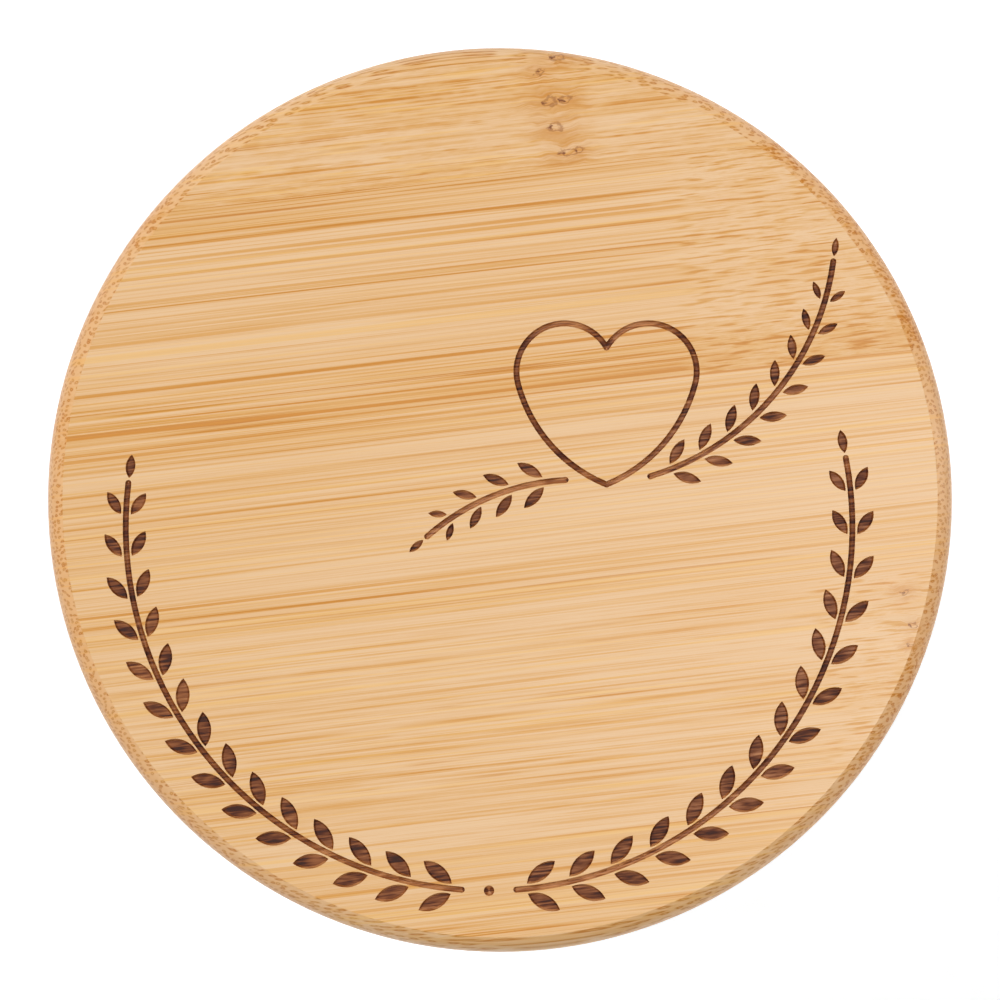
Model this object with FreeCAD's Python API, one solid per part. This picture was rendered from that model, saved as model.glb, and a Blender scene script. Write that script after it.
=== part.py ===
# Keepsake and coin jar: a straight glass jar closed by a laminated bamboo lid with a silicone seal.
# Frame: origin at the centre of the base on the plane the jar stands on, +Z up through the jar's axis,
# +X along the grain of the lid's top ply. Units are millimetres.
#
# The lid is a board of three glued plies, each one a row of edge-glued bamboo strips:
#   top ply    full diameter, grain along X, carries the rounded edge and the laser engraving
#   core ply   full diameter, grain along Y, so that the board stays flat
#   plug ply   smaller, grain along X, with the turned groove that holds the seal
import FreeCAD, Part
import math
import os

V = FreeCAD.Vector
Z_AXIS = V(0, 0, 1)

# ---- driving dimensions -------------------------------------------------------------------------
OVERALL_HEIGHT = 150.0

LID_RADIUS = 50.0
LID_FLAT_RADIUS = 48.05         # where the flat top meets the rounded edge
EDGE_START_SLOPE = 28.0         # degrees below level at which the rounded edge leaves the flat top
UNDER_EDGE_RADIUS = 1.0         # rounding of the lid's lower edge
TOP_PLY = 5.0
CORE_PLY = 5.0
PLUG_PLY = 8.0

STRIP_WIDTH = 24.3              # finished width of one bamboo strip
TOP_JOINT_Y = 11.3              # one glue joint of the top ply; the others lie whole strips away
CORE_JOINT_X = STRIP_WIDTH / 2
PLUG_JOINT_Y = 0.0

PLUG_RADIUS = 44.0
PLUG_CHAMFER = 0.8
GROOVE_RADIUS = 41.5            # floor of the seal groove
GROOVE_BOTTOM = 2.0             # groove's lower wall above the plug's underside
GROOVE_HEIGHT = 4.4

GLASS_RADIUS = 49.0
GLASS_WALL = 3.0
GLASS_FLOOR = 7.0               # thickness of the base at its edge
FLOOR_CROWN = 1.0               # rise of the inside floor at its centre
HEEL_RADIUS = 8.0               # outer rounding between wall and base
INSIDE_CORNER_RADIUS = 5.0
FOOT_INNER_RADIUS = 34.0        # the jar stands on a flat ring from here out to the heel
PUSH_UP = 2.2                   # hollow of the underside at its centre
LID_REST_GAP = 0.2              # between the rim's crest and the lid

SEAL_GROOVE_CLEARANCE = 0.2
SEAL_WALL_CLEARANCE = 0.2
SEAL_BAND = 2.0                 # radial thickness of the band that sits in the groove
LIP_ROOT = 0.9                  # thickness of a sealing lip where it leaves the band
LIP_TIP_RADIUS = 0.25
LIP_SWEEP = 0.65                # how far the glass bends a lip's tip upwards
LIP_HEIGHTS = (0.95, 2.85)      # each lip's root above the band's lower face

# ---- engraving, in its own frame before it is turned against the grain ---------------------------
ENGRAVING_TURN = -6.6           # degrees from the engraving's level to the top ply's grain
LINE_RADIUS = 0.35              # round-bottomed line groove
LINE_LIFT = 0.10                # height of the groove's centre above the lid's face
LEAF_DEPTH = 0.28
LEAF_DRAFT = 0.20               # the leaf pocket's wall leans out by this much over its depth
LEAF_TIP_SHARE = 1.5            # a leaf's tip moves this many times as far as its sides when it grows
LEAF_OVERCUT = 0.14             # how far the leaf cutter stands above the lid's face

HEART_POINT = V(11.7, 1.7, 0)
HEART_LOBE_RADIUS = 5.3
HEART_LOBE_OFFSET = 4.6
HEART_DROP = 12.4               # from the lobes' centres down to the point
HEART_TANGENT_ANGLE = -15.0     # where each side leaves its lobe

WREATH_CENTRE = V(-1.2, -3.0, 0)
WREATH_RADIUS = 39.9
WREATH_START = 173.0            # degrees, left end
WREATH_END = 371.0              # degrees, right end
WREATH_PITCH = 4.6              # along the stem, between leaf pairs
WREATH_LEAF = (4.0, 1.65)       # length and width
WREATH_LEAF_ANGLE = 33.0
WREATH_GAP = 3.0                # half the break at the bottom, along the stem
BERRY_RADIUS = 0.75

RIGHT_SPRIG = (V(16.5, 2.6, 0), V(30.4, 11.9, 0), V(36.6, 26.2, 0))
LEFT_SPRIG = (V(7.2, 2.2, 0), V(-0.4, 0.6, 0), V(-8.0, -4.0, 0))
SPRIG_PITCH = 3.7
SPRIG_LEAF = (3.2, 1.2)
SPRIG_LEAF_ANGLE = 38.0
LEAF_CLEARANCE = 0.55           # from the stem's centre line to a leaf's near tip
TIP_TAPER = 0.35                # the last leaf of a stem is this much smaller than the first

# ---- levels worked out from the dimensions above --------------------------------------------------
LID_TOP = OVERALL_HEIGHT
TOP_PLY_BOTTOM = LID_TOP - TOP_PLY
CORE_PLY_BOTTOM = TOP_PLY_BOTTOM - CORE_PLY
PLUG_BOTTOM = CORE_PLY_BOTTOM - PLUG_PLY
RIM_TOP = CORE_PLY_BOTTOM - LID_REST_GAP
GLASS_INNER_RADIUS = GLASS_RADIUS - GLASS_WALL
MARGIN = 5.0                    # how far cutting slabs stand past what they cut


def line(a, b):
    return Part.LineSegment(V(a[0], 0, a[1]), V(b[0], 0, b[1])).toShape()


def arc(a, middle, b):
    return Part.Arc(V(a[0], 0, a[1]), V(middle[0], 0, middle[1]), V(b[0], 0, b[1])).toShape()


def arc_middle(centre, radius, start_degrees, end_degrees):
    """The point halfway along an arc, as (r, z)."""
    angle = math.radians((start_degrees + end_degrees) / 2)
    return (centre[0] + radius * math.cos(angle), centre[1] + radius * math.sin(angle))


def turned(edges):
    """The solid of revolution about Z of a closed profile drawn in the XZ plane."""
    face = Part.Face(Part.Wire(Part.__sortEdges__(edges)))
    return face.revolve(V(0, 0, 0), Z_AXIS, 360)


# ---- lid plies --------------------------------------------------------------------------------
def top_ply():
    slope = math.radians(90 - EDGE_START_SLOPE)
    radius = (LID_RADIUS - LID_FLAT_RADIUS) / (1 - math.cos(slope))
    drop = radius * math.sin(slope)
    centre = (LID_RADIUS - radius, LID_TOP - drop)
    low = (LID_RADIUS, LID_TOP - drop)
    high = (LID_FLAT_RADIUS, LID_TOP)
    return turned([
        line((0, TOP_PLY_BOTTOM), (LID_RADIUS, TOP_PLY_BOTTOM)),
        line((LID_RADIUS, TOP_PLY_BOTTOM), low),
        arc(low, arc_middle(centre, radius, 0, 90 - EDGE_START_SLOPE), high),
        line(high, (0, LID_TOP)),
        line((0, LID_TOP), (0, TOP_PLY_BOTTOM)),
    ])


def core_ply():
    r = UNDER_EDGE_RADIUS
    centre = (LID_RADIUS - r, CORE_PLY_BOTTOM + r)
    low = (LID_RADIUS - r, CORE_PLY_BOTTOM)
    high = (LID_RADIUS, CORE_PLY_BOTTOM + r)
    return turned([
        line((0, CORE_PLY_BOTTOM), low),
        arc(low, arc_middle(centre, r, -90, 0), high),
        line(high, (LID_RADIUS, TOP_PLY_BOTTOM)),
        line((LID_RADIUS, TOP_PLY_BOTTOM), (0, TOP_PLY_BOTTOM)),
        line((0, TOP_PLY_BOTTOM), (0, CORE_PLY_BOTTOM)),
    ])


def plug_ply():
    groove_low = PLUG_BOTTOM + GROOVE_BOTTOM
    groove_high = groove_low + GROOVE_HEIGHT
    corners = [
        (0, PLUG_BOTTOM),
        (PLUG_RADIUS - PLUG_CHAMFER, PLUG_BOTTOM),
        (PLUG_RADIUS, PLUG_BOTTOM + PLUG_CHAMFER),
        (PLUG_RADIUS, groove_low),
        (GROOVE_RADIUS, groove_low),
        (GROOVE_RADIUS, groove_high),
        (PLUG_RADIUS, groove_high),
        (PLUG_RADIUS, CORE_PLY_BOTTOM),
        (0, CORE_PLY_BOTTOM),
    ]
    return turned([line(a, b) for a, b in zip(corners, corners[1:] + corners[:1])])


def strips(ply, joint, radius, across):
    """Cuts a ply at joint and at whole strip widths from it, into strips that lie side by side along an axis."""
    first = joint - STRIP_WIDTH * math.ceil((joint + radius) / STRIP_WIDTH)
    count = math.ceil((radius - first) / STRIP_WIDTH)
    box = ply.BoundBox
    reach = 2 * (radius + MARGIN)
    found = []
    for i in range(count):
        slab = Part.makeBox(reach, STRIP_WIDTH, box.ZLength + 2 * MARGIN)
        slab.translate(V(-reach / 2, first + i * STRIP_WIDTH, box.ZMin - MARGIN))
        if across == "x":
            slab.rotate(V(0, 0, 0), Z_AXIS, -90)
        found.append(ply.common(slab))
    return found


# ---- engraving cutters --------------------------------------------------------------------------
def line_cutter(start, middle, end):
    """A round-bottomed groove along the arc through three points of the lid's face, with round ends."""
    lift = V(0, 0, LID_TOP + LINE_LIFT)
    curve = Part.Arc(start + lift, middle + lift, end + lift)
    path = Part.Wire(curve.toShape())
    tangent = curve.tangent(curve.FirstParameter)[0]
    section = Part.Wire(Part.makeCircle(LINE_RADIUS, start + lift, tangent))
    tube = path.makePipeShell([section], True, True)
    ends = [Part.makeSphere(LINE_RADIUS, p + lift) for p in (start, end)]
    return [tube] + ends


def leaf_outline(length, width, height):
    """A pointed leaf along +X, two arcs that meet at both tips, as it is at this height above the lid's face."""
    grow = LEAF_DRAFT / LEAF_DEPTH * height
    z = LID_TOP + height
    side = width / 2 + grow
    base = V(-LEAF_TIP_SHARE * grow, 0, z)
    tip = V(length + LEAF_TIP_SHARE * grow, 0, z)
    upper = Part.Arc(base, V(length / 2, side, z), tip).toShape()
    lower = Part.Arc(tip, V(length / 2, -side, z), base).toShape()
    return Part.Wire([upper, lower])


def leaf_cutter(place, heading, length, width):
    """A leaf-shaped pocket with leaning walls, its near tip at place, pointing along heading in degrees."""
    floor = leaf_outline(length, width, -LEAF_DEPTH)
    roof = leaf_outline(length, width, LEAF_OVERCUT)
    cutter = Part.makeLoft([floor, roof], True, True)
    cutter.rotate(V(0, 0, 0), Z_AXIS, heading)
    cutter.translate(place)
    return cutter


def berry_cutter(place):
    return Part.makeSphere(BERRY_RADIUS, place + V(0, 0, LID_TOP + BERRY_RADIUS - LEAF_DEPTH))


def tapered(size, share):
    """A leaf's length and width at this share of the way along its stem."""
    return [x * (1 - TIP_TAPER * share ** 3) for x in size]


def leaf_pair(place, heading, spread, size):
    """Two leaves, one each side of a stem that runs along heading through place."""
    cutters = []
    for side in (1, -1):
        angle = math.radians(heading + 90 * side)
        near_tip = place + V(math.cos(angle), math.sin(angle), 0) * LEAF_CLEARANCE
        cutters.append(leaf_cutter(near_tip, heading + side * spread, *size))
    return cutters


def heart_cutters():
    """A plain heart outline: two round lobes whose sides run on into a point."""
    lobe = V(HEART_LOBE_OFFSET, HEART_DROP, 0)
    angle = math.radians(HEART_TANGENT_ANGLE)
    normal = V(math.cos(angle), math.sin(angle), 0)
    along = lobe.dot(normal)
    r = HEART_LOBE_RADIUS
    side_radius = (lobe.dot(lobe) + 2 * r * along + r * r) / (2 * (along + r))
    side_centre = lobe - normal * (side_radius - r)
    leave = lobe + normal * r
    point = V(0, 0, 0)
    halfway = (leave + point) * 0.5 - side_centre
    side_middle = side_centre + halfway.normalize() * side_radius
    cusp = V(0, HEART_DROP + math.sqrt(r * r - HEART_LOBE_OFFSET ** 2), 0)
    cusp_angle = 180 - math.degrees(math.acos(HEART_LOBE_OFFSET / r))
    crest_angle = math.radians((HEART_TANGENT_ANGLE + cusp_angle) / 2)
    crest = lobe + V(math.cos(crest_angle), math.sin(crest_angle), 0) * r
    cutters = []
    for mirror in (1, -1):
        def at(p):
            return V(p.x * mirror, p.y, 0)
        cutters += line_cutter(at(cusp), at(crest), at(leave))
        cutters += line_cutter(at(leave), at(side_middle), at(point))
    for cutter in cutters:
        cutter.translate(HEART_POINT)
    return cutters


def sprig_cutters(points, size, pitch, spread):
    """A curved stem with leaf pairs along it and one leaf at its far end."""
    curve = Part.Arc(*points)
    cutters = line_cutter(*points)
    count = int(curve.length() // pitch)
    for i in range(1, count + 1):
        at = curve.parameterAtDistance(i * pitch - pitch / 3, curve.FirstParameter)
        tangent = curve.tangent(at)[0]
        heading = math.degrees(math.atan2(tangent.y, tangent.x))
        cutters += leaf_pair(curve.value(at), heading, spread, tapered(size, i / count))
    tangent = curve.tangent(curve.LastParameter)[0]
    heading = math.degrees(math.atan2(tangent.y, tangent.x))
    cutters.append(leaf_cutter(points[-1] + tangent * LEAF_CLEARANCE, heading, *tapered(size, 1)))
    return cutters


def wreath_point(degrees):
    angle = math.radians(degrees)
    return WREATH_CENTRE + V(math.cos(angle), math.sin(angle), 0) * WREATH_RADIUS


def wreath_cutters():
    """Two half wreaths that grow from a small gap at the bottom, round to each end."""
    bottom = 270.0
    per_mm = math.degrees(1 / WREATH_RADIUS)
    cutters = [berry_cutter(wreath_point(bottom))]
    for side, end in ((-1, WREATH_START), (1, WREATH_END)):
        start = bottom + side * WREATH_GAP * per_mm
        cutters += line_cutter(wreath_point(start), wreath_point((start + end) / 2), wreath_point(end))
        span = abs(end - start)
        count = int(span / (WREATH_PITCH * per_mm))
        step = span / count
        for i in range(count):
            at = start + side * step * (i + 0.25)
            size = tapered(WREATH_LEAF, i / count)
            cutters += leaf_pair(wreath_point(at), at + 90 * side, WREATH_LEAF_ANGLE, size)
        tip = wreath_point(end + side * LEAF_CLEARANCE * per_mm)
        cutters.append(leaf_cutter(tip, end + 90 * side, *tapered(WREATH_LEAF, 1)))
    return cutters


def engraved(ply):
    cutters = heart_cutters() + wreath_cutters()
    for points in (LEFT_SPRIG, RIGHT_SPRIG):
        cutters += sprig_cutters(points, SPRIG_LEAF, SPRIG_PITCH, SPRIG_LEAF_ANGLE)
    for cutter in cutters:
        cutter.rotate(V(0, 0, 0), Z_AXIS, ENGRAVING_TURN)
    return ply.cut(cutters)


# ---- seal and glass -----------------------------------------------------------------------------
def seal_ring():
    """A band that fills the groove, with two thin lips that the jar's wall bends upwards."""
    inner = GROOVE_RADIUS + SEAL_GROOVE_CLEARANCE
    outer = inner + SEAL_BAND
    low = PLUG_BOTTOM + GROOVE_BOTTOM + SEAL_GROOVE_CLEARANCE
    high = low + GROOVE_HEIGHT - 2 * SEAL_GROOVE_CLEARANCE
    reach = GLASS_INNER_RADIUS - SEAL_WALL_CLEARANCE
    edges = [line((inner, low), (outer, low))]
    last = (outer, low)
    for height in LIP_HEIGHTS:
        root = low + height
        below, above = (outer, root - LIP_ROOT / 2), (outer, root + LIP_ROOT / 2)
        tip = (reach - LIP_TIP_RADIUS, root + LIP_SWEEP)
        tip_low, tip_high = (tip[0], tip[1] - LIP_TIP_RADIUS), (tip[0], tip[1] + LIP_TIP_RADIUS)
        edges.append(line(last, below))
        edges.append(line(below, tip_low))
        edges.append(arc(tip_low, (reach, tip[1]), tip_high))
        edges.append(line(tip_high, above))
        last = above
    edges.append(line(last, (outer, high)))
    edges.append(line((outer, high), (inner, high)))
    edges.append(line((inner, high), (inner, low)))
    return turned(edges)


def glass_jar():
    heel_start = GLASS_RADIUS - HEEL_RADIUS
    corner_start = GLASS_INNER_RADIUS - INSIDE_CORNER_RADIUS
    rim_radius = GLASS_WALL / 2
    rim_base = RIM_TOP - rim_radius
    heel_middle = arc_middle((heel_start, HEEL_RADIUS), HEEL_RADIUS, -90, 0)
    corner_centre = (corner_start, GLASS_FLOOR + INSIDE_CORNER_RADIUS)
    corner_middle = arc_middle(corner_centre, INSIDE_CORNER_RADIUS, -90, 0)

    def crowned(radius, height, r):
        """Height at radius r of a shallow dome that is height tall at the axis and 0 at radius."""
        sphere = (radius ** 2 + height ** 2) / (2 * height)
        return math.sqrt(sphere ** 2 - r ** 2) - (sphere - height)

    half_foot = FOOT_INNER_RADIUS / 2
    half_floor = corner_start / 2
    foot_middle = (half_foot, crowned(FOOT_INNER_RADIUS, PUSH_UP, half_foot))
    floor_middle = (half_floor, GLASS_FLOOR + crowned(corner_start, FLOOR_CROWN, half_floor))
    return turned([
        arc((0, PUSH_UP), foot_middle, (FOOT_INNER_RADIUS, 0)),
        line((FOOT_INNER_RADIUS, 0), (heel_start, 0)),
        arc((heel_start, 0), heel_middle, (GLASS_RADIUS, HEEL_RADIUS)),
        line((GLASS_RADIUS, HEEL_RADIUS), (GLASS_RADIUS, rim_base)),
        arc((GLASS_RADIUS, rim_base), (GLASS_RADIUS - rim_radius, RIM_TOP), (GLASS_INNER_RADIUS, rim_base)),
        line((GLASS_INNER_RADIUS, rim_base), (GLASS_INNER_RADIUS, corner_centre[1])),
        arc((GLASS_INNER_RADIUS, corner_centre[1]), corner_middle, (corner_start, GLASS_FLOOR)),
        arc((corner_start, GLASS_FLOOR), floor_middle, (0, GLASS_FLOOR + FLOOR_CROWN)),
        line((0, GLASS_FLOOR + FLOOR_CROWN), (0, PUSH_UP)),
    ])


def main():
    parts = {"glass_jar": glass_jar(), "seal_ring": seal_ring()}
    plies = (
        ("lid_top_strip", engraved(top_ply()), TOP_JOINT_Y, LID_RADIUS, "y"),
        ("lid_core_strip", core_ply(), CORE_JOINT_X, LID_RADIUS, "x"),
        ("lid_plug_strip", plug_ply(), PLUG_JOINT_Y, PLUG_RADIUS, "y"),
    )
    for name, ply, joint, radius, across in plies:
        for i, strip in enumerate(strips(ply, joint, radius, across), start=1):
            parts[f"{name}_{i}"] = strip
    os.makedirs("parts", exist_ok=True)
    for name, shape in parts.items():
        shape.exportStep(f"parts/{name}.step")
        print(name, shape.isValid(), len(shape.Solids), round(shape.Volume, 1))


main()
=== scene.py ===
import math

import bpy
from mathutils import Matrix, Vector


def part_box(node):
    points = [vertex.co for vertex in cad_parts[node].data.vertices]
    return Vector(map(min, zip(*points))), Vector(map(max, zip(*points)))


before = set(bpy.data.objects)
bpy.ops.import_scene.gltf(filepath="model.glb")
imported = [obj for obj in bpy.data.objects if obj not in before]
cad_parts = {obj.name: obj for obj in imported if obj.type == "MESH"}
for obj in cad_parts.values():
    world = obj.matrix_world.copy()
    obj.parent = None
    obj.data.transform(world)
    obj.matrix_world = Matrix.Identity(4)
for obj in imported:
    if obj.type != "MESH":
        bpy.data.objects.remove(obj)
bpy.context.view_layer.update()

# Keepsake and coin jar: a clear glass jar under a laminated bamboo lid with a scorched engraving.
# Every piece of the object is a CAD node of the frame, so this script makes its materials, the light
# and the camera. Patterns are solid: they are worked out in millimetres from a piece's own
# coordinates, so that a fibre bundle which shows as a line on a face shows as a dot where the
# rounded edge cuts across it.

MM = 0.001
LID_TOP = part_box("lid_top_strip_3")[1].z / MM
FLAT_RADIUS = 48.05             # the lid's flat top ends here, in mm
ENGRAVING_TURN = -6.6           # degrees from the grain to the engraving's level
WHITE = (1.0, 1.0, 1.0, 1.0)


def srgb(red, green, blue):
    """A colour given as it looks on a screen, 0 to 255, as the linear colour that a shader takes."""
    def linear(value):
        share = value / 255
        return share / 12.92 if share <= 0.04045 else ((share + 0.055) / 1.055) ** 2.4
    return (linear(red), linear(green), linear(blue), 1.0)


# ---- nodes --------------------------------------------------------------------------------------
class Tree:
    """The nodes of a material or of the world, while they are made.

    Where a value is wanted, a number, a colour or another node's output will do.
    """

    def __init__(self, owner):
        owner.use_nodes = True
        self.owner = owner
        self.nodes = owner.node_tree.nodes
        self.links = owner.node_tree.links
        self.nodes.clear()

    def node(self, kind, inputs, **settings):
        made = self.nodes.new("ShaderNode" + kind)
        for key, value in settings.items():
            setattr(made, key, value)
        for key, value in inputs.items():
            self.put(made.inputs[key], value)
        return made

    def put(self, socket, value):
        if isinstance(value, bpy.types.NodeSocket):
            self.links.new(value, socket)
        else:
            socket.default_value = value

    # numbers
    def math(self, operation, *values):
        return self.node("Math", dict(enumerate(values)), operation=operation).outputs[0]

    def chain(self, operation, values):
        total = values[0]
        for value in values[1:]:
            total = self.math(operation, total, value)
        return total

    def add(self, *values):
        return self.chain("ADD", values)

    def times(self, *values):
        return self.chain("MULTIPLY", values)

    def least(self, values):
        return self.chain("MINIMUM", values)

    def length(self, x, y):
        return self.math("SQRT", self.add(self.times(x, x), self.times(y, y)))

    def above(self, value, middle, weight):
        """How far value is above middle, times weight."""
        return self.times(self.add(value, -middle), weight)

    def carry(self, value, start, end, low, high, **settings):
        """The range from start to end carried over to the range from low to high."""
        inputs = {"Value": value, "From Min": start, "From Max": end, "To Min": low, "To Max": high}
        return self.node("MapRange", inputs, **settings).outputs[0]

    def fade(self, value, start, end, low=0.0, high=1.0):
        """low up to start, high from end on, and a smooth step between them."""
        return self.carry(value, start, end, low, high, interpolation_type="SMOOTHSTEP")

    def span(self, value, start, end, edge):
        """1 from start to end, falling to 0 over edge on both sides."""
        rise = self.fade(value, start - edge, start)
        fall = self.fade(value, end, end + edge, 1.0, 0.0)
        return self.times(rise, fall)

    def blend(self, share, a, b):
        made = self.nodes.new("ShaderNodeMix")
        self.put(made.inputs[0], share)
        self.put(made.inputs[2], a)
        self.put(made.inputs[3], b)
        return made.outputs[0]

    # places
    def vector(self, x=0.0, y=0.0, z=0.0):
        return self.node("CombineXYZ", {0: x, 1: y, 2: z}).outputs[0]

    def cells(self, x, x_size, y, y_size, z):
        """A place counted in cells of x_size by y_size, for a texture with features of that size."""
        return self.vector(self.times(x, 1 / x_size), self.times(y, 1 / y_size), z)

    def scaled(self, place, scale):
        return self.node("VectorMath", {0: place, "Scale": scale}, operation="SCALE").outputs[0]

    def stretched(self, place, factors):
        return self.node("VectorMath", {0: place, 1: factors}, operation="MULTIPLY").outputs[0]

    # textures
    def noise(self, place, detail=2.0, roughness=0.5):
        inputs = {"Vector": place, "Scale": 1.0, "Detail": detail, "Roughness": roughness}
        return self.node("TexNoise", inputs).outputs[0]

    def swing(self, place, reach, detail=1.0):
        """Noise that swings from about -reach to +reach."""
        return self.carry(self.noise(place, detail), 0.25, 0.75, -reach, reach, clamp=False)

    def scatter(self, dimensions, randomness=1.0, **place):
        """Scattered points: how far the nearest is, and two random numbers of its own."""
        cells = self.node("TexVoronoi", {**place, "Scale": 1.0, "Randomness": randomness},
                          voronoi_dimensions=dimensions)
        chance, tint, _ = self.node("SeparateColor", {0: cells.outputs["Color"]}).outputs
        return cells.outputs["Distance"], chance, tint

    # colours
    def mix(self, share, a, b, blend="MIX"):
        made = self.nodes.new("ShaderNodeMix")
        made.data_type = "RGBA"
        made.blend_type = blend
        self.put(made.inputs[0], share)
        self.put(made.inputs[6], a)
        self.put(made.inputs[7], b)
        return made.outputs[2]

    def ramp(self, value, stops):
        """A ramp of colours, or of greys given as single numbers, through (place, colour) stops."""
        made = self.nodes.new("ShaderNodeValToRGB")
        self.put(made.inputs[0], value)
        elements = made.color_ramp.elements
        while len(elements) < len(stops):
            elements.new(0.5)
        for element, (place, colour) in zip(elements, stops):
            element.position = place
            element.color = colour if isinstance(colour, tuple) else (colour, colour, colour, 1.0)
        return made.outputs[0]

    # relief and what the tree ends in
    def bump(self, height, distance, strength):
        inputs = {"Height": height, "Distance": distance, "Strength": strength}
        return self.node("Bump", inputs).outputs[0]

    def surface(self, **inputs):
        """The Principled shader with these inputs, written with _ for a space."""
        named = {key.replace("_", " "): value for key, value in inputs.items()}
        self.output("Material", self.node("BsdfPrincipled", named))
        return self.owner

    def output(self, kind, shader):
        self.links.new(shader.outputs[0], self.node("Output" + kind, {}).inputs["Surface"])


# ---- bamboo -------------------------------------------------------------------------------------
# the colours of bamboo by its tone, from the darkest line to the palest ground tissue
WOOD_TONES = (
    (0.0, srgb(202, 132, 44)), (0.14, srgb(210, 145, 64)), (0.43, srgb(221, 167, 99)),
    (0.61, srgb(225, 176, 115)), (0.84, srgb(230, 187, 138)), (1.0, srgb(233, 194, 149)))
RUSSET = srgb(200, 130, 68)         # the darker fibre bundles
TAN = srgb(224, 156, 78)            # single fibres
STRAW = srgb(240, 190, 104)         # yellow streaks
FIBRE_END = srgb(170, 100, 36)      # bundles that a slope cuts across
LACQUERED_END = srgb(253, 232, 204)  # what the lacquer does to the end grain
HONEY = srgb(207, 141, 62)          # round a knot
AMBER = srgb(184, 110, 44)          # the edge of a knot's ring
KNOT = srgb(118, 58, 22)            # the ring itself

# the colours of the burn, from toasted to charred
CHAR_TONES = (
    (0.0, srgb(186, 125, 76)), (0.3, srgb(150, 88, 42)), (0.6, srgb(120, 62, 20)),
    (0.85, srgb(78, 30, 6)), (1.0, srgb(56, 22, 10)))

# lengths in mm
STRIP_HALF = 12.15              # half a strip's width
SEED_STEP = 37.3                # from one strip's patterns to the next one's
BUNDLE_PITCH = 0.5              # from one fibre bundle to the next
BROAD_PITCH = 0.9               # from one broad single line to the next
FINE_PITCH = 0.43               # from one fine single line to the next
NODE_EDGE = 4.0                 # over which a culm node begins and ends
NODE_WOBBLE = 2.0               # how far its edge strays
SWIRL = 0.55                    # how far a knot pushes the fibres aside

# how dark a bundle is, by the distance from its centre in pitches: a ring of fibre
BUNDLE_SECTION = ((0.0, 0.3), (0.09, 0.4), (0.19, 1.0), (0.27, 0.5), (0.40, 0.0))

# how much each pattern changes the tone
STREAK_TONE = 1.7
BAND_TONE = -0.24
BROAD_TONE = 0.5
FINE_TONE = 0.55
FLECK_TONE = 0.08
SINGLE_TONE = -0.95
BUNDLE_TONE = -0.8
SPINDLE_TONE = -0.56
END_TONE = 0.12

# how much a random number, 0 to 1, shifts the noise that a bundle or a line fades by
CHANCE_SHIFT = 61.0
TINT_SHIFT = 47.0

# One entry per strip of the top ply, from the lowest y up.
#   bands     how dark the lines are across the strip, as (share of the width from its low side,
#             strength)
#   dash      how far along the grain a line stays in the face, in mm
#   paleness  how pale the ground tissue is, 0 to 1
#   node      where a culm node crosses the strip, as (start, end) along the grain in mm, and how
#             many times shorter the lines are there
#   knots_at  (along, across, size) of that strip's small knots, across from the strip's middle
TOP_STRIPS = (
    {"bands": ((0.0, 0.5), (0.5, 0.55), (0.62, 0.8), (0.8, 0.45), (1.0, 0.6)),
     "dash": 22, "paleness": 0.8},
    {"bands": ((0.0, 0.35), (0.25, 0.4), (0.5, 0.5), (0.75, 0.35), (1.0, 0.4)),
     "dash": 11, "paleness": 0.88, "node": (35.5, 44.5, 8),
     "knots_at": ((42.9, 10.0, 0.55), (43.6, 6.3, 0.5), (42.9, 4.2, 0.4))},
    {"bands": ((0.0, 0.5), (0.2, 0.6), (0.36, 0.3), (0.62, 0.5), (0.8, 0.35), (1.0, 0.7)),
     "dash": 90, "paleness": 0.88},
    {"bands": ((0.0, 1.6), (0.13, 1.4), (0.2, 0.7), (0.42, 0.3), (0.6, 0.75), (0.75, 0.4),
               (0.88, 1.0), (1.0, 1.2)),
     "dash": 60, "paleness": 0.88, "node": (25.0, 49.0, 36)},
    {"bands": ((0.0, 0.7), (0.3, 0.5), (0.6, 0.7), (1.0, 0.5)),
     "dash": 2.8, "paleness": 0.83,
     "knots_at": ((11.8, -0.1, 0.9), (9.6, -1.6, 0.7), (10.3, -4.9, 1.0), (12.2, -4.9, 0.8),
                  (10.9, -7.8, 1.0), (11.8, -10.7, 1.0), (12.9, -10.5, 0.7))},
)

# how dark the lines are across the strips of the two lower plies, which take these in turn
PLY_BANDS = (
    ((0.0, 0.4), (0.3, 0.6), (0.55, 0.35), (1.0, 0.8)),
    ((0.0, 0.9), (0.25, 0.5), (0.7, 0.6), (1.0, 0.4)),
    ((0.0, 0.5), (0.4, 0.9), (0.6, 0.4), (1.0, 0.55)),
)


def fibres(tree, along, run, across, height, dash):
    """The fibre bundles at a place: how dark their section is there, how far each has faded, and two
    random numbers for each.

    Bundles are a staggered lattice across the grain that wanders slowly up and down, so that a level
    face cuts a bundle for a long stretch and then leaves it. Each bundle also fades in and out over
    about the length of dash.
    """
    drift = tree.swing(tree.cells(along, 90, across, 7, height), 0.4)
    rise = tree.swing(tree.cells(run, 75, across, 4, 3.7), 0.35)
    place = tree.vector(
        tree.times(tree.add(across, drift), 1 / BUNDLE_PITCH),
        tree.times(tree.add(height, rise), 1 / BUNDLE_PITCH))
    distance, chance, tint = tree.scatter("2D", 0.8, Vector=place)
    section = tree.ramp(distance, BUNDLE_SECTION)
    stretch = tree.noise(tree.vector(
        tree.times(run, 1 / dash), tree.times(chance, CHANCE_SHIFT),
        tree.times(tint, TINT_SHIFT)), 1.0)
    return section, tree.fade(stretch, 0.36, 0.6, 0.12, 1.0), chance, tint


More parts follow.
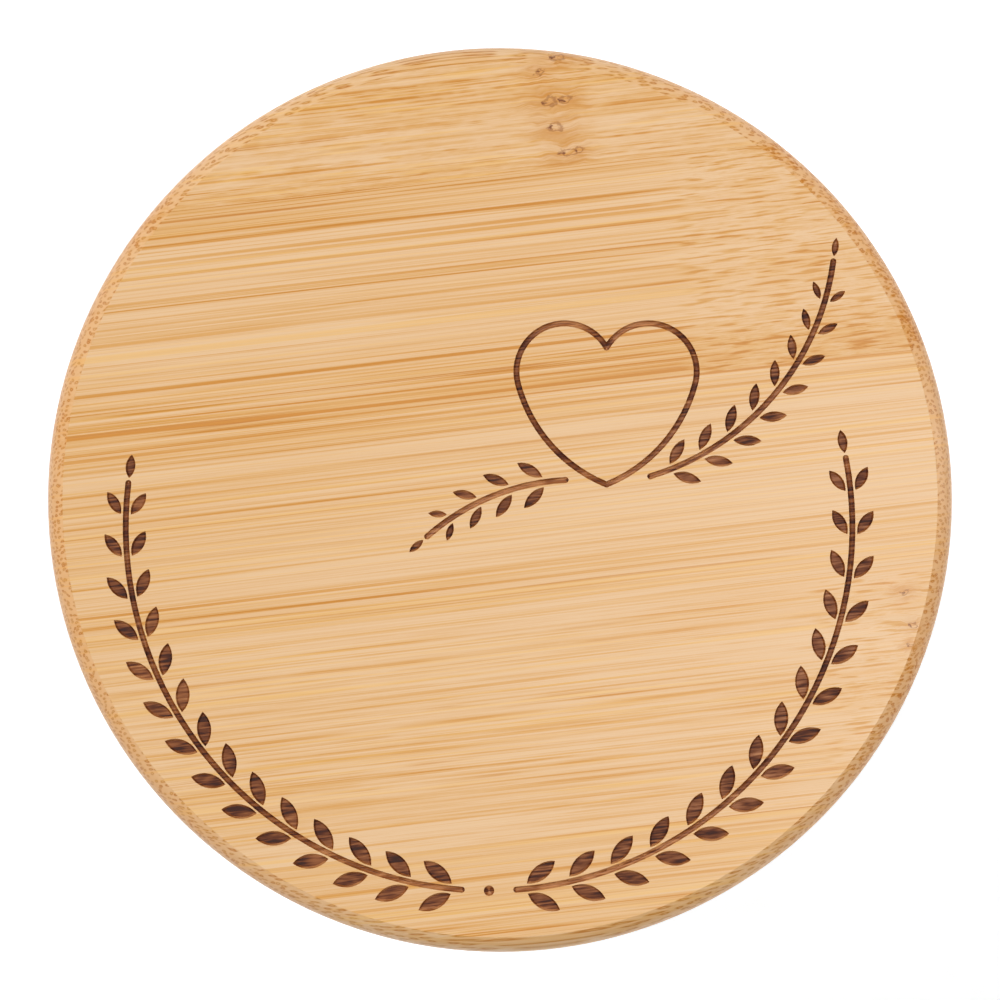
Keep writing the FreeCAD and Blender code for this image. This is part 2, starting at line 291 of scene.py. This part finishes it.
def threads(tree, run, across, pitch, length):
    """How dark straight fine lines are, a pitch or so apart, each of its own width and strength."""
    distance, chance, tint = tree.scatter("1D", W=tree.times(across, 1 / pitch))
    half = tree.fade(tint, 0.2, 1.0, 0.04, 0.17)
    line = tree.fade(distance, half, tree.add(half, 0.09), 1.0, 0.0)
    stretch = tree.noise(
        tree.vector(tree.times(run, 1 / length), tree.times(chance, CHANCE_SHIFT)), 2.0)
    strength = tree.fade(chance, 0.0, 0.8, 0.25, 1.0)
    return tree.times(line, tree.fade(stretch, 0.35, 0.62, 0.15, 1.0), strength)


def knots(tree, along, across, centres):
    """Small eye-shaped knots: how dark their rings and pits are, and how far their halo reaches."""
    half_length, half_width = 0.85, 0.45        # of a knot of size 1, in mm
    ring_radius, pit_offset = 0.9, 0.7          # as shares of those
    wobble_x, wobble_y = (
        tree.swing(tree.vector(tree.times(along, 1.1), tree.times(across, 1.6), z), reach, 2.0)
        for z, reach in ((1.5, 0.45), (7.5, 0.3)))
    rings, pits, halos = [], [], []
    for x, y, size in centres:
        dx = tree.times(tree.add(along, -x, wobble_x), 1 / (half_length * size))
        dy = tree.times(tree.add(across, -y, wobble_y), 1 / (half_width * size))
        away = tree.length(dx, dy)
        rings.append(tree.math("ABSOLUTE", tree.add(away, -ring_radius)))
        pits.append(tree.length(tree.add(dx, pit_offset), dy))
        halos.append(away)
    ring = tree.fade(tree.least(rings), 0.06, 0.42, 0.6, 0.0)
    pit = tree.fade(tree.least(pits), 0.2, 0.6, 1.0, 0.0)
    return tree.math("MAXIMUM", ring, pit), tree.fade(tree.least(halos), 0.6, 6.0, 1.0, 0.0)


def culm_node(tree, along, seeded, start, end, gain):
    """Where a culm node crosses a strip: the way along the grain as the patterns see it, which runs
    faster there, so that lines are shorter, and how far a place is in the node, 0 to 1."""
    wobbled = tree.add(along, tree.swing(tree.cells(along, 9, seeded, 1.4, 2.0), NODE_WOBBLE))
    zone = tree.span(wobbled, start, end, NODE_EDGE)
    run = tree.add(along, tree.carry(wobbled, start, end, 0.0, (gain - 1) * (end - start)))
    return run, zone


def scorch(tree, along, across, depth, normal_along, normal_across, wood):
    """The colour of the laser engraving, how burnt a place is and how charred.

    A line that crosses the grain chars deeply, one that runs with it only browns, and the fibre
    bundles that lie in the burn show as darker and lighter stripes. The lip of a groove is a thin
    brown fringe.
    """
    square_a = tree.times(normal_along, normal_along)
    square_c = tree.times(normal_across, normal_across)
    # the small numbers keep the flat bottom of a pocket from dividing 0 by 0
    crossing = tree.math("DIVIDE", tree.add(square_a, 0.0012), tree.add(square_a, square_c, 0.002))
    stripes = tree.noise(tree.cells(along, 2.6, across, 0.24, 5.5), 2.0)
    patches = tree.noise(tree.vector(tree.times(along, 0.4), tree.times(across, 0.45), 2.5), 1.0)
    char = tree.add(
        tree.fade(crossing, 0.0, 0.65, 0.12, 0.66), tree.above(stripes, 0.5, 1.9),
        tree.above(patches, 0.5, 0.9), tree.fade(depth, 0.01, 0.09, -0.3, 0.0))
    burnt = tree.fade(depth, 0.002, 0.02)
    return tree.mix(burnt, wood, tree.ramp(char, CHAR_TONES)), burnt, char


def bamboo(name, grain, middle, seed, bands, dash, paleness, node=None, knots_at=(), engraved=False):
    """The material of one bamboo strip.

    grain is the axis that it runs along, middle its centre line across that, seed picks its
    patterns, and the rest is as in TOP_STRIPS.
    """
    tree = Tree(bpy.data.materials.new(name))
    source = tree.node("TexCoord", {})
    place = tree.node("SeparateXYZ", {0: tree.scaled(source.outputs["Object"], 1 / MM)}).outputs
    normal = tree.node("SeparateXYZ", {0: source.outputs["Normal"]}).outputs
    run_axis, side_axis = (0, 1) if grain == "x" else (1, 0)
    along, side, height = place[run_axis], place[side_axis], place[2]
    across = tree.add(side, -middle)
    seeded = tree.add(across, seed * SEED_STEP)
    end_grain = tree.math("ABSOLUTE", normal[run_axis])
    upright = tree.math("ABSOLUTE", normal[2])
    slope = tree.fade(upright, 0.9, 0.995, 1.0, 0.0)
    level = tree.fade(upright, 0.8, 0.97)

    if knots_at:
        dark, halo = knots(tree, along, across, knots_at)
        swirl = tree.swing(tree.cells(along, 2.6, across, 2.2, 9.5), SWIRL)
        seeded = tree.add(seeded, tree.times(halo, swirl))
    run, zone = culm_node(tree, along, seeded, *node) if node else (along, 0.0)

    # fibre bundles, stronger in some bands of the strip and weaker in a node
    band = tree.ramp(tree.times(tree.add(across, STRIP_HALF), 0.5 / STRIP_HALF), bands)
    slow = tree.noise(tree.cells(along, 60, seeded, 1.7, 1.0), 2.0)
    section, fading, chance, tint = fibres(tree, along, run, seeded, height, dash)
    faded = tree.times(
        fading, band, tree.fade(chance, 0.0, 0.7, 0.3, 1.0), tree.fade(slow, 0.3, 0.6, 0.5, 1.2))
    faded = tree.times(faded, tree.blend(zone, 1.0, 0.15))
    bundles = tree.times(section, tree.blend(slope, faded, 0.85))

    # thin lines where single fibres lie in a level face
    straight = tree.add(seeded, tree.swing(tree.cells(along, 110, seeded, 9, 6.0), 0.3))
    broad_lines = threads(tree, run, straight, BROAD_PITCH, 2 * dash)
    fine_lines = threads(tree, run, straight, FINE_PITCH, dash)
    single = tree.add(
        tree.times(broad_lines, tree.blend(zone, 1.0, 0.25)), tree.times(fine_lines, 0.6))
    single = tree.times(
        single, level, tree.blend(zone, tree.add(tree.times(band, 0.8), 0.2), 0.5))

    # the tone of the ground tissue, in streaks of every width along the grain, and of the lines
    streaks = tree.noise(tree.cells(run, 5 * dash, seeded, 1.15, height), 4.0, 0.85)
    fine = tree.noise(tree.cells(along, 15, seeded, 0.13, height), 1.0)
    broad = tree.noise(tree.cells(along, 90, seeded, 5, 4.0), 1.0)
    flecks = tree.noise(tree.cells(along, 1.1, seeded, 0.09, height), 1.0)
    tone = tree.add(
        tree.above(streaks, 0.5, tree.fade(band, 0.2, 1.0, 0.5 * STREAK_TONE, STREAK_TONE)),
        tree.above(band, 0.55, BAND_TONE),
        tree.above(broad, 0.5, BROAD_TONE),
        paleness,
        tree.fade(end_grain, 0.15, 0.5, 0.0, END_TONE),
        tree.above(fine, 0.5, FINE_TONE),
        tree.times(single, SINGLE_TONE),
        tree.times(bundles, BUNDLE_TONE),
        tree.times(tree.fade(flecks, 0.55, 0.78), FLECK_TONE))
    if node:
        spindles = tree.noise(tree.cells(along, 4.4, seeded, 0.34, height), 1.0)
        tone = tree.add(tone, tree.times(tree.fade(spindles, 0.51, 0.66), zone, SPINDLE_TONE))

    # the colour
    wood = tree.ramp(tone, WOOD_TONES)
    darker = tree.times(tree.fade(tint, 0.6, 0.8), tree.fade(bundles, 0.1, 0.6, 0.0, 0.5))
    wood = tree.mix(darker, wood, RUSSET)
    straw = tree.noise(tree.cells(run, 4 * dash, seeded, 0.4, 12.5), 2.0)
    straw = tree.times(tree.fade(straw, 0.54, 0.72, 0.0, 0.45), tree.blend(zone, 1.0, 0.2))
    wood = tree.mix(straw, wood, STRAW)
    wood = tree.mix(tree.times(single, 0.28), wood, TAN)
    wood = tree.mix(tree.times(bundles, slope, 0.36), wood, FIBRE_END)
    if knots_at:
        wood = tree.mix(tree.times(halo, tree.fade(streaks, 0.42, 0.6, 0.8, 0.2)), wood, HONEY)
        wood = tree.mix(tree.times(dark, 0.9), wood, tree.mix(dark, AMBER, KNOT))

    # the cut ends of the fibres drink more of the lacquer
    soaked = tree.fade(end_grain, 0.1, 0.7, 0.0, 0.8)
    wood = tree.mix(soaked, wood, LACQUERED_END, blend="MULTIPLY")

    # fine relief: the bundles stand a little above the softer tissue
    relief = tree.add(tree.times(bundles, 0.5), tree.times(streaks, 0.5))
    roughness = tree.add(tree.fade(streaks, 0.3, 0.7, 0.3, 0.4), tree.times(bundles, -0.05))
    if engraved:
        radius = tree.length(side, along)
        within = tree.fade(radius, FLAT_RADIUS - 0.6, FLAT_RADIUS - 0.4, 1.0, 0.0)
        depth = tree.times(tree.add(tree.times(height, -1.0), LID_TOP), within)
        wood, burnt, char = scorch(
            tree, along, across, depth, normal[run_axis], normal[side_axis], wood)
        relief = tree.blend(burnt, relief, tree.times(char, 1.5))
        roughness = tree.blend(burnt, roughness, tree.fade(char, 0.3, 0.9, 0.42, 0.62))
    return tree.surface(
        Base_Color=wood, Roughness=roughness, Specular_IOR_Level=0.3,
        Normal=tree.bump(relief, 0.02 * MM, 0.6))


# ---- glass and silicone ---------------------------------------------------------------------------
def clear_glass():
    """Pressed soda-lime glass: slow waves left by the mould, and faint wiping marks."""
    tree = Tree(bpy.data.materials.new("clear_glass_pressed"))
    place = tree.node("TexCoord", {}).outputs["Object"]
    waves = tree.noise(tree.stretched(place, (42, 42, 16)), 1.0)
    marks = tree.noise(tree.stretched(place, (160, 160, 900)), 3.0)
    return tree.surface(
        Base_Color=(0.975, 0.99, 0.983, 1.0), Roughness=tree.fade(marks, 0.55, 0.8, 0.0, 0.05),
        IOR=1.5, Transmission_Weight=1.0, Normal=tree.bump(waves, 0.6 * MM, 0.25))


def silicone():
    """Milky silicone with a fine moulded texture and a little dust."""
    tree = Tree(bpy.data.materials.new("silicone_milky"))
    place = tree.node("TexCoord", {}).outputs["Object"]
    fine = tree.noise(tree.scaled(place, 4200.0), 2.0)
    dust = tree.noise(tree.scaled(place, 160.0), 3.0)
    colour = tree.mix(tree.fade(dust, 0.45, 0.8, 0.0, 0.5), srgb(247, 247, 245), srgb(232, 230, 222))
    return tree.surface(
        Base_Color=colour, Roughness=tree.fade(dust, 0.3, 0.7, 0.36, 0.5), IOR=1.41,
        Subsurface_Weight=0.6, Subsurface_Radius=(3 * MM, 3 * MM, 3 * MM), Subsurface_Scale=1.0,
        Normal=tree.bump(fine, 0.02 * MM, 0.5))


# ---- the pieces ---------------------------------------------------------------------------------
def dress(node, material):
    """Gives a CAD node its material in every slot."""
    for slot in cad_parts[node].material_slots:
        slot.material = material


def strip_middle(node, axis):
    """A strip's centre line across the grain, in mm.

    The lid's edge cuts the outer strips short, so it is worked out from the glued side: the one
    nearer the lid's centre, or the low one where the strip spans the centre.
    """
    low, high = (corner[axis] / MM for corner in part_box(node))
    if low * high < 0 or abs(low) <= abs(high):
        return low + STRIP_HALF
    return high - STRIP_HALF


def dress_lid():
    for i, look in enumerate(TOP_STRIPS, start=1):
        node = f"lid_top_strip_{i}"
        middle = strip_middle(node, 1)
        dress(node, bamboo(f"bamboo_top_{i}", "x", middle, i, engraved=True, **look))
    for ply, grain, axis, count, seed, dash, dash_step, paleness in (
            ("core", "y", 0, 5, 10, 25, 9, 0.72), ("plug", "x", 1, 4, 20, 20, 12, 0.74)):
        for i in range(1, count + 1):
            node = f"lid_{ply}_strip_{i}"
            dress(node, bamboo(
                f"bamboo_{ply}_{i}", grain, strip_middle(node, axis), seed + i,
                bands=PLY_BANDS[i % len(PLY_BANDS)], dash=dash + dash_step * i, paleness=paleness))


# ---- studio -------------------------------------------------------------------------------------
TABLE_RADIUS = 12.0
TABLE_LEVEL = -0.0002           # a hair below the jar's foot
AIM = (0, 0, 0.1)               # where every light points

# every light's place, its width and height, and its power in watts
LIGHTS = {
    "key": ((-1.25, 1.55, 2.65), (1.6, 1.6), 59),
    "sheen": ((0.3, -0.13, 1.6), (0.25, 0.25), 6.3),
    "strip_front": ((-0.75, -1.15, 0.34), (0.08, 0.6), 0.8),
    "strip_right": ((1.35, 0.0, 0.34), (0.2, 0.6), 3.1),
}


def table():
    """A pale table that fills the view. It glows a little near the jar and towards the horizon."""
    bpy.ops.mesh.primitive_circle_add(
        vertices=96, radius=TABLE_RADIUS, fill_type="NGON", location=(0, 0, TABLE_LEVEL))
    floor = bpy.context.object
    floor.name = "floor"
    tree = Tree(bpy.data.materials.new("white_table"))
    place = tree.node("TexCoord", {}).outputs["Object"]
    paper = tree.noise(tree.scaled(place, 300.0), 2.0)
    tone = tree.mix(tree.fade(paper, 0.3, 0.7), (0.80, 0.80, 0.80, 1.0), (0.84, 0.84, 0.84, 1.0))
    away = tree.node("VectorMath", {0: place}, operation="LENGTH").outputs["Value"]
    glow = tree.add(tree.fade(away, 0.11, 0.42, 0.54, 0.0), tree.fade(away, 0.6, 2.5, 0.0, 0.2))
    floor.data.materials.append(tree.surface(
        Base_Color=tone, Roughness=0.7, Emission_Color=WHITE, Emission_Strength=glow))


def room():
    """A plain white room, paler near the horizon, where it meets the table."""
    world = bpy.data.worlds.new("room")
    tree = Tree(world)
    direction = tree.node("TexCoord", {}).outputs["Generated"]
    upward = tree.node("SeparateXYZ", {0: direction}).outputs[2]
    strength = tree.fade(upward, 0.05, 0.5, 0.41, 0.26)
    tree.output("World", tree.node("Background", {"Color": WHITE, "Strength": strength}))
    bpy.context.scene.world = world


def lights():
    """A soft key from the upper left, a soft top light, and two tall strips that show in the glass."""
    for name, (place, size, power) in LIGHTS.items():
        data = bpy.data.lights.new(name, "AREA")
        data.shape = "RECTANGLE"
        data.size, data.size_y = size
        data.energy = power
        light = bpy.data.objects.new(name, data)
        light.location = place
        light.rotation_euler = (Vector(AIM) - Vector(place)).to_track_quat("-Z", "Y").to_euler()
        light.visible_camera = False
        bpy.context.scene.collection.objects.link(light)


def camera():
    """Straight above the lid, turned against the grain so that the engraving stands level."""
    seen_width = 0.1106             # width of the view at the lid's widest level
    widest_level = LID_TOP * MM - 0.003
    data = bpy.data.cameras.new("camera")
    data.sensor_width = 36.0
    data.lens = 135.0
    data.clip_start = 0.01
    made = bpy.data.objects.new("camera", data)
    made.location = (0, 0, widest_level + seen_width * data.lens / data.sensor_width)
    made.rotation_euler = (0, 0, math.radians(ENGRAVING_TURN))
    bpy.context.scene.collection.objects.link(made)
    bpy.context.scene.camera = made


dress("glass_jar", clear_glass())
dress("seal_ring", silicone())
dress_lid()
table()
room()
lights()
camera()
bpy.context.scene.view_settings.view_transform = "Standard"
